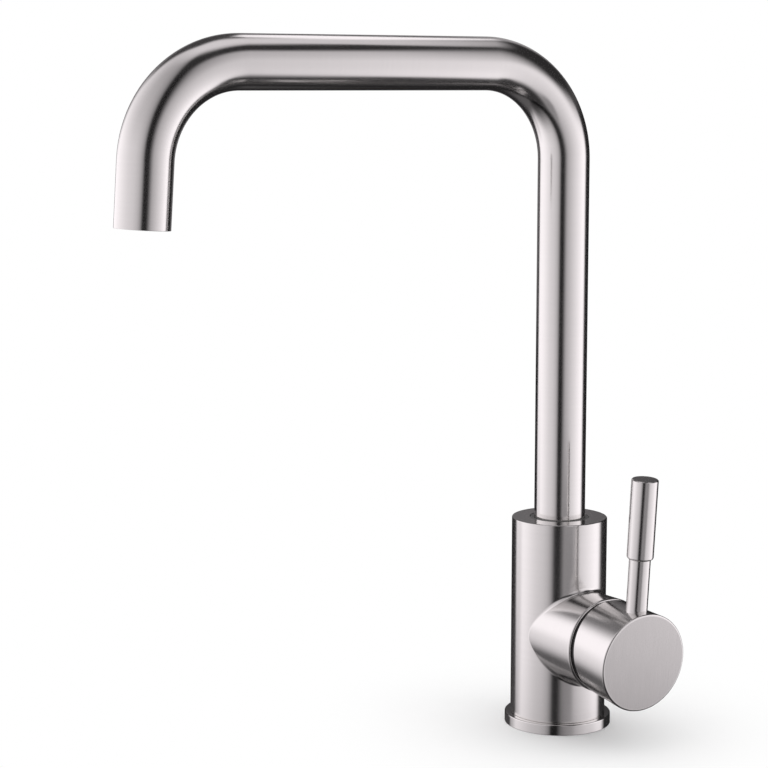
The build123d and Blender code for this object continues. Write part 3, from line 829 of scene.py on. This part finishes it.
def build_cap():
    shell = Shell()
    turned = cap_axis.to_3x3()
    lever_hole = Hole(
        0.0,
        lever_reach,
        rod_r + seat_gap,
        lever_patch,
        [(rod_r + seat_gap, lever_seat), (spigot_r + seat_gap, spigot_end)],
    )
    plug_hole = Hole(math.pi, plug_reach, plug_r, plug_patch, [(plug_r, plug_hole_end)])
    lever_lines = patch_lines(0.0, lever_patch / cap_radius(lever_reach))
    plug_lines = patch_lines(math.pi, plug_patch / cap_radius(plug_reach))
    columns = [
        *lever_lines,
        *spread(lever_lines[-1], plug_lines[0], cap_side_steps)[1:-1],
        *plug_lines,
        *spread(plug_lines[-1], lever_lines[0] + 2 * math.pi, cap_side_steps)[1:-1],
    ]
    wall_end = cap_reach - 2 * cap_edge
    hole_levels = patch_lines(lever_reach, lever_patch) + patch_lines(plug_reach, plug_patch)
    levels = [rim_bottom, *sorted(hole_levels), wall_end]
    rim_outside = [rim_radius(angle) for angle in columns]

    def wall_start(angle):
        return rim_station(rim_radius(angle) * math.cos(angle)) + fine_edge

    holes = [lever_hole, plug_hole]
    drilled_wall(
        shell, cap_axis, cap_radius, cap_narrowing, columns, levels, holes, closed=True, low=wall_start
    )

    # Broken edge of the rim, the rim itself, then the bore up to its floor
    rim_normal = turned @ Vector((-rim_slope, 0, -1)).normalized()

    def rim_row(radii, facing):
        row = []
        for angle, radius in zip(columns, radii):
            c, s = math.cos(angle), math.sin(angle)
            point = cap_axis @ Vector((radius * c, radius * s, rim_station(radius * c)))
            sideways = turned @ Vector((c, s, 0))
            normal = (sideways * facing[0] + rim_normal * facing[1]).normalized()
            row.append((point, normal, (cap_r * c, cap_r * s, radius)))
        return row

    edge_start = []
    for angle in columns:
        c, s = math.cos(angle), math.sin(angle)
        level = wall_start(angle)
        r = cap_radius(level)
        normal = (turned @ Vector((c, s, 0)) + rim_normal).normalized()
        edge_start.append((cap_axis @ Vector((r * c, r * s, level)), normal, (cap_r * c, cap_r * s, r)))
    edge_end = [radius - fine_edge for radius in rim_outside]
    bore = [cap_bore_r] * len(columns)
    shell.skin([edge_start, rim_row(edge_end, (1, 1))])
    shell.skin([rim_row(edge_end, (0, 1)), rim_row(bore, (0, 1))])
    floor_row = ring(cap_axis, columns, cap_bore_r, cap_bore_reach, -1, 0, cap_r, cap_bore_reach)
    shell.skin([rim_row(bore, (-1, 0)), floor_row])
    shell.skin([ring(cap_axis, columns, r, cap_bore_reach, 0, -1, cap_r, r) for r in (cap_bore_r, 0.0)])

    # Broken edge towards the face
    edge = rounded(
        [
            (cap_radius(wall_end), wall_end),
            (cap_radius(cap_reach - cap_edge), cap_reach - cap_edge, cap_edge * full_round),
            (cap_r - cap_edge, cap_reach, cap_edge * full_round),
            (cap_r - 2 * cap_edge, cap_reach),
        ]
    )
    turn_profile(shell, cap_axis, columns, edge, cap_r)

    # Face, brushed straight up and down
    rows = []
    for r in spread(cap_r - 2 * cap_edge, 0.0, face_rows):
        row = ring(cap_axis, columns, r, cap_reach, 0, 1, cap_r, r)
        grains = [(0.0, r * math.cos(angle), r * math.sin(angle)) for angle in columns]
        rows.append([(point, normal, grain) for (point, normal, _), grain in zip(row, grains)])
    first_face = len(shell.faces)
    shell.skin(rows)
    cap = shell.finish("cap", materials["brushed_steel"])
    # The face takes the steel with its colour darkened as painted shade
    cap.data.materials.append(face_steel_painted_shade)
    for polygon in cap.data.polygons[first_face:]:
        polygon.material_index = 1
    return cap


dress(build_cap(), "handle_cap", "handle")

rod = turned_piece(
    "rod",
    lever_axis,
    [
        (0.0, rod_foot),
        (spigot_r, rod_foot, fine_edge),
        (spigot_r, lever_seat),
        (rod_r, lever_seat),
        (rod_r, grip_start, fine_edge),
        (grip_bore_r, grip_start),
        (grip_bore_r, grip_bore_end, fine_edge),
        (0.0, grip_bore_end),
    ],
    materials["brushed_steel"],
    lever_steps,
)
dress(rod, "lever_rod", "handle")

grip = turned_piece(
    "grip",
    lever_axis,
    [
        (grip_bore_r + seat_gap, grip_start),
        (grip_r, grip_start, grip_shoulder),
        (grip_r, grip_top - grip_edge, fine_edge),
        (grip_r - grip_edge, grip_top, fine_edge),
        (0.0, grip_top),
        (0.0, grip_bore_roof),
        (grip_bore_r + seat_gap, grip_bore_roof),
        (grip_bore_r + seat_gap, grip_start),
    ],
    materials["brushed_steel"],
    lever_steps,
)
dress(grip, "lever_grip", "handle")


# Spout


def spout_stations():
    """Middle, direction and length along the bent centreline, in the plane of the spout."""
    up, out = Vector((0, 0, 1)), Vector((0, -1, 0))
    reach = -tube_low.y - tube_r * math.cos(outlet_lean)
    run_end = reach - outlet_drop * math.sin(outlet_lean) - bend_r * math.cos(outlet_lean)
    first_middle = Vector((0, -bend_r, run_height - bend_r))
    second_middle = Vector((0, -run_end, run_height - bend_r))
    stations = [(Vector((0, 0, tube_seat)), up)]
    for turn in spread(0.0, math.pi / 2, bend_steps):
        place = first_middle - out * bend_r * math.cos(turn) + up * bend_r * math.sin(turn)
        stations.append((place, up * math.cos(turn) + out * math.sin(turn)))
    for turn in spread(0.0, math.pi / 2 - outlet_lean, bend_steps):
        place = second_middle + out * bend_r * math.sin(turn) + up * bend_r * math.cos(turn)
        stations.append((place, out * math.cos(turn) - up * math.sin(turn)))
    last, heading = stations[-1]
    stations.append((last + heading * outlet_drop, heading))
    return stations


def build_spout():
    shell = Shell()
    angles = even_angles(tube_steps)
    across = Vector((1, 0, 0))

    def section(place, heading, r, normal_r, normal_h, travelled):
        side = across.cross(heading)
        row = []
        for angle in angles:
            outward = across * math.cos(angle) + side * math.sin(angle)
            normal = outward * normal_r + heading * normal_h
            grain = (tube_r * math.cos(angle), tube_r * math.sin(angle), travelled)
            row.append((place + outward * r, normal, grain))
        return row

    outer, inner = [], []
    travelled = 0.0
    stations = spout_stations()
    last = len(stations) - 1
    for i, (place, heading) in enumerate(stations):
        if i:
            travelled += (place - stations[i - 1][0]).length
        here = place - heading * outlet_edge if i == last else place
        outer.append(section(here, heading, tube_r, 1, 0, travelled))
        inner.append(section(here, heading, tube_bore_r, -1, 0, travelled))
    shell.skin(outer)
    shell.skin(inner)
    place, heading = stations[0]
    shell.skin([section(place, heading, r, 0, -1, r) for r in (tube_r, tube_bore_r)])

    # Outlet end with both edges rounded
    place, heading = stations[-1]
    lip = rounded(
        [
            (tube_r, -outlet_edge),
            (tube_r, 0.0, outlet_edge),
            (tube_bore_r, 0.0, outlet_edge),
            (tube_bore_r, -outlet_edge),
        ]
    )
    for stretch in lip:
        shell.skin([section(place + heading * h, heading, r, nr, nh, r + h) for r, h, nr, nh in stretch])
    return shell.finish("spout", tube_steel)


dress(build_spout(), "spout_tube", "spout")

# Camera
camera_ground = Vector((math.sin(camera_azimuth), -math.cos(camera_azimuth), 0))
towards_camera = camera_ground * math.cos(camera_pitch) + Vector((0, 0, math.sin(camera_pitch)))
image_right = Vector((math.cos(camera_azimuth), math.sin(camera_azimuth), 0))
camera_target = image_right * camera_aside + Vector((0, 0, camera_height))
camera_data = bpy.data.cameras.new("camera")
camera_data.lens = camera_lens
camera_data.sensor_width = camera_sensor
camera_data.clip_start = camera_clip
camera = bpy.data.objects.new("camera", camera_data)
camera.location = camera_target + towards_camera * camera_distance
camera.rotation_euler = towards_camera.to_track_quat("Z", "Y").to_euler()
bpy.context.scene.collection.objects.link(camera)
bpy.context.scene.camera = camera

# Light tent round the set, in degrees about its middle: azimuth from the camera's side, positive to the
# image's right, and elevation
tent_r = 0.5
tent_aside = -0.02
tent_forward = 0.05
tent_height = 0.2
tent_tint = (1.05, 1.0, 1.03, 1.0)
tent_middle = image_right * (camera_aside + tent_aside) + camera_ground * tent_forward
tent_middle.z = tent_height
# Light of the walls by azimuth, which brightens from the camera's dark stripe towards the two sides
tent_walls = [
    (-180, 1.25),
    (-115, 1.28),
    (-95, 1.18),
    (-60, 0.90),
    (-37, 0.78),
    (-22, 0.62),
    (-12, 0.38),
    (-5, 0.02),
    (9, 0.02),
    (15, 0.14),
    (21, 0.34),
    (28, 0.52),
    (50, 0.76),
    (70, 0.98),
    (96, 1.32),
    (180, 1.25),
]
# Share of the walls' light by elevation, and where the even ceiling takes over
tent_share = [
    (-90, 0.02),
    (-72, 0.08),
    (-62, 0.24),
    (-52, 0.48),
    (-44, 0.70),
    (-36, 0.88),
    (-28, 0.96),
    (-18, 1.0),
    (18, 1.0),
    (34, 0.80),
    (60, 0.56),
    (90, 0.56),
]
tent_cover = [(-90, 0.0), (66, 0.0), (80, 1.0), (90, 1.0)]
ceiling_light = 0.82
# Cards and flags over the walls, each with soft edges and laid over those before it
Card = namedtuple("Card", "azimuth half_width side_edge elevation half_height end_edge light")
tent_cards = [
    Card(164, 54, 6, -40, 66, 10, 0.02),  # back, from the ground to above the level: dark
    Card(180, 24, 10, 8, 14, 6, 0.17),  # back, at the level: dim
    Card(117, 38, 17, 37, 19, 9, 0.03),  # back right, raised: dark
    Card(195, 36, 15, 38, 24, 10, 0.2),  # back left, raised: dim
    Card(200, 40, 11, 58, 18, 7, 0.06),  # back left, high: dark
    Card(165, 18, 6, 57, 9, 4, 1.25),  # back, high: bright
    Card(47, 52, 6, 59.5, 9.5, 5, 0.03),  # front right, high: dark
    Card(34, 12, 6, -28, 9, 5, 0.29),  # front right, low: dim
    Card(80, 62, 8, -72, 30, 13, 0.04),  # right, near the ground: dark
    Card(113, 34, 8, -62, 24, 4, 0.05),  # back right, near the ground: dark
    Card(-127, 11, 7, -36, 17, 10, 0.92),  # back left, low: bright
    Card(-160, 33, 13, -72, 32, 18, 0.12),  # back left, near the ground: dim
]


def ramp(kit, source, stops):
    """Colour ramp with grey stops over the range that they span, read as one value."""
    low, high = stops[0][0], stops[-1][0]
    node = kit.add("ValToRGB")
    kit.link(kit.mapped(source, low, high), node.inputs["Fac"])
    elements = node.color_ramp.elements
    while len(elements) < len(stops):
        elements.new(0.5)
    for element, (place, level) in zip(elements, stops):
        element.position = (place - low) / (high - low)
        element.color = (level, level, level, 1.0)
    return node.outputs["Color"]


def tent_material():
    """Light of the tent's walls and ceiling, with the cards laid over them."""
    kit = Nodes("tent")
    place = kit.add("SeparateXYZ")
    kit.link(kit.add("TexCoord").outputs["Object"], place.inputs[0])

    def mixed(share, below, above):
        node = kit.add("Mix", data_type="FLOAT")
        for name, value in {"Factor": share, "A": below, "B": above}.items():
            kit.feed(node.inputs[name], value)
        return node.outputs["Result"]

    def within(distance, half, edge):
        """One inside half the width, falling softly to nothing across the edge."""
        return kit.mapped(distance, half - edge, half + edge, 1.0, 0.0, "SMOOTHSTEP")

    x, y, z = place.outputs
    azimuth = kit.maths("DEGREES", kit.maths("ARCTAN2", y, x))
    level = kit.maths("SQRT", kit.maths("ADD", kit.maths("MULTIPLY", x, x), kit.maths("MULTIPLY", y, y)))
    elevation = kit.maths("DEGREES", kit.maths("ARCTAN2", z, level))
    walls = kit.maths("MULTIPLY", ramp(kit, azimuth, tent_walls), ramp(kit, elevation, tent_share))
    light = mixed(ramp(kit, elevation, tent_cover), walls, ceiling_light)
    for card in tent_cards:
        aside = kit.maths("PINGPONG", kit.maths("SUBTRACT", azimuth, card.azimuth), 180)
        above = kit.maths("ABSOLUTE", kit.maths("SUBTRACT", elevation, card.elevation))
        covers = within(aside, card.half_width, card.side_edge)
        reaches = within(above, card.half_height, card.end_edge)
        light = mixed(kit.maths("MULTIPLY", covers, reaches), light, card.light)
    emission = kit.add("Emission")
    emission.inputs["Color"].default_value = tent_tint
    kit.link(light, emission.inputs["Strength"])
    kit.link(emission.outputs[0], kit.tree.nodes["Material Output"].inputs["Surface"])
    kit.tree.nodes.remove(kit.shader)
    kit.material.cycles.emission_sampling = "NONE"
    return kit.material


def build_tent():
    """Closed light tent round the set, which only the metal sees."""
    shell = Shell()
    arc = []
    for lift in spread(-math.pi / 2, math.pi / 2, tent_rows):
        c, s = math.cos(lift), math.sin(lift)
        arc.append((tent_r * c, tent_r * s, -c, -s))
    turn_profile(shell, upright, even_angles(stage_steps), [arc], tent_r)
    tent = shell.finish("tent", tent_material())
    tent.location = tent_middle
    tent.rotation_euler = (0, 0, camera_azimuth - math.pi / 2)
    tent.visible_camera = False
    tent.visible_diffuse = False
    tent.visible_shadow = False
    tent.visible_transmission = False


build_tent()

# Floor
floor_r = 3.0
floor_colour = (0.9, 0.9, 0.9)
floor_rough = 0.8
floor_grain = 60.0
shadow_start, shadow_end = 0.02, 0.13


def floor_material():
    """Pale floor that keeps the shadow near the object and runs out to white."""
    kit = Nodes("floor")
    kit.shader.inputs["Roughness"].default_value = floor_rough
    place = kit.add("TexCoord").outputs["Object"]
    kit.tinted(kit.noise(place, floor_grain, detail=3.0), floor_colour, change=0.01)
    distance = kit.add("VectorMath", operation="LENGTH")
    kit.link(place, distance.inputs[0])
    away = kit.mapped(distance.outputs["Value"], shadow_start, shadow_end, kind="SMOOTHSTEP")
    path = kit.add("LightPath").outputs
    seen = kit.maths("ADD", path["Is Camera Ray"], path["Is Glossy Ray"], use_clamp=True)
    seen = kit.maths("ADD", seen, path["Is Transmission Ray"], use_clamp=True)
    white = kit.add("Emission")
    mix = kit.add("MixShader")
    kit.link(kit.maths("MULTIPLY", seen, away), mix.inputs["Fac"])
    kit.link(kit.shader.outputs[0], mix.inputs[1])
    kit.link(white.outputs[0], mix.inputs[2])
    kit.link(mix.outputs[0], kit.tree.nodes["Material Output"].inputs["Surface"])
    return kit.material


def build_floor():
    shell = Shell()
    angles = even_angles(stage_steps)
    shell.skin([ring(upright, angles, r, 0.0, 0, 1, r, r) for r in (floor_r, floor_r / 4, 0.0)])
    floor = shell.finish("floor", floor_material())
    floor.visible_glossy = False


build_floor()

# World
world_light = 1.0
world = bpy.data.worlds.new("world")
world.use_nodes = True
bpy.context.scene.world = world
background = world.node_tree.nodes["Background"]
background.inputs["Color"].default_value = (1, 1, 1, 1)
background.inputs["Strength"].default_value = world_light

# Lamps
Lamp = namedtuple("Lamp", "name place size power")
lamps = [
    Lamp("key_lamp", (-0.5, -0.9, 1.6), size=2.0, power=7.0),
    Lamp("fill_lamp", (1.2, 0.6, 1.2), size=1.0, power=3.0),
]
for lamp in lamps:
    data = bpy.data.lights.new(lamp.name, "AREA")
    data.size = lamp.size
    data.energy = lamp.power
    light = bpy.data.objects.new(lamp.name, data)
    light.location = lamp.place
    light.rotation_euler = (Vector(lamp.place) - tent_middle).to_track_quat("Z", "Y").to_euler()
    light.visible_glossy = False
    bpy.context.scene.collection.objects.link(light)

bpy.context.scene.view_settings.view_transform = "Standard"
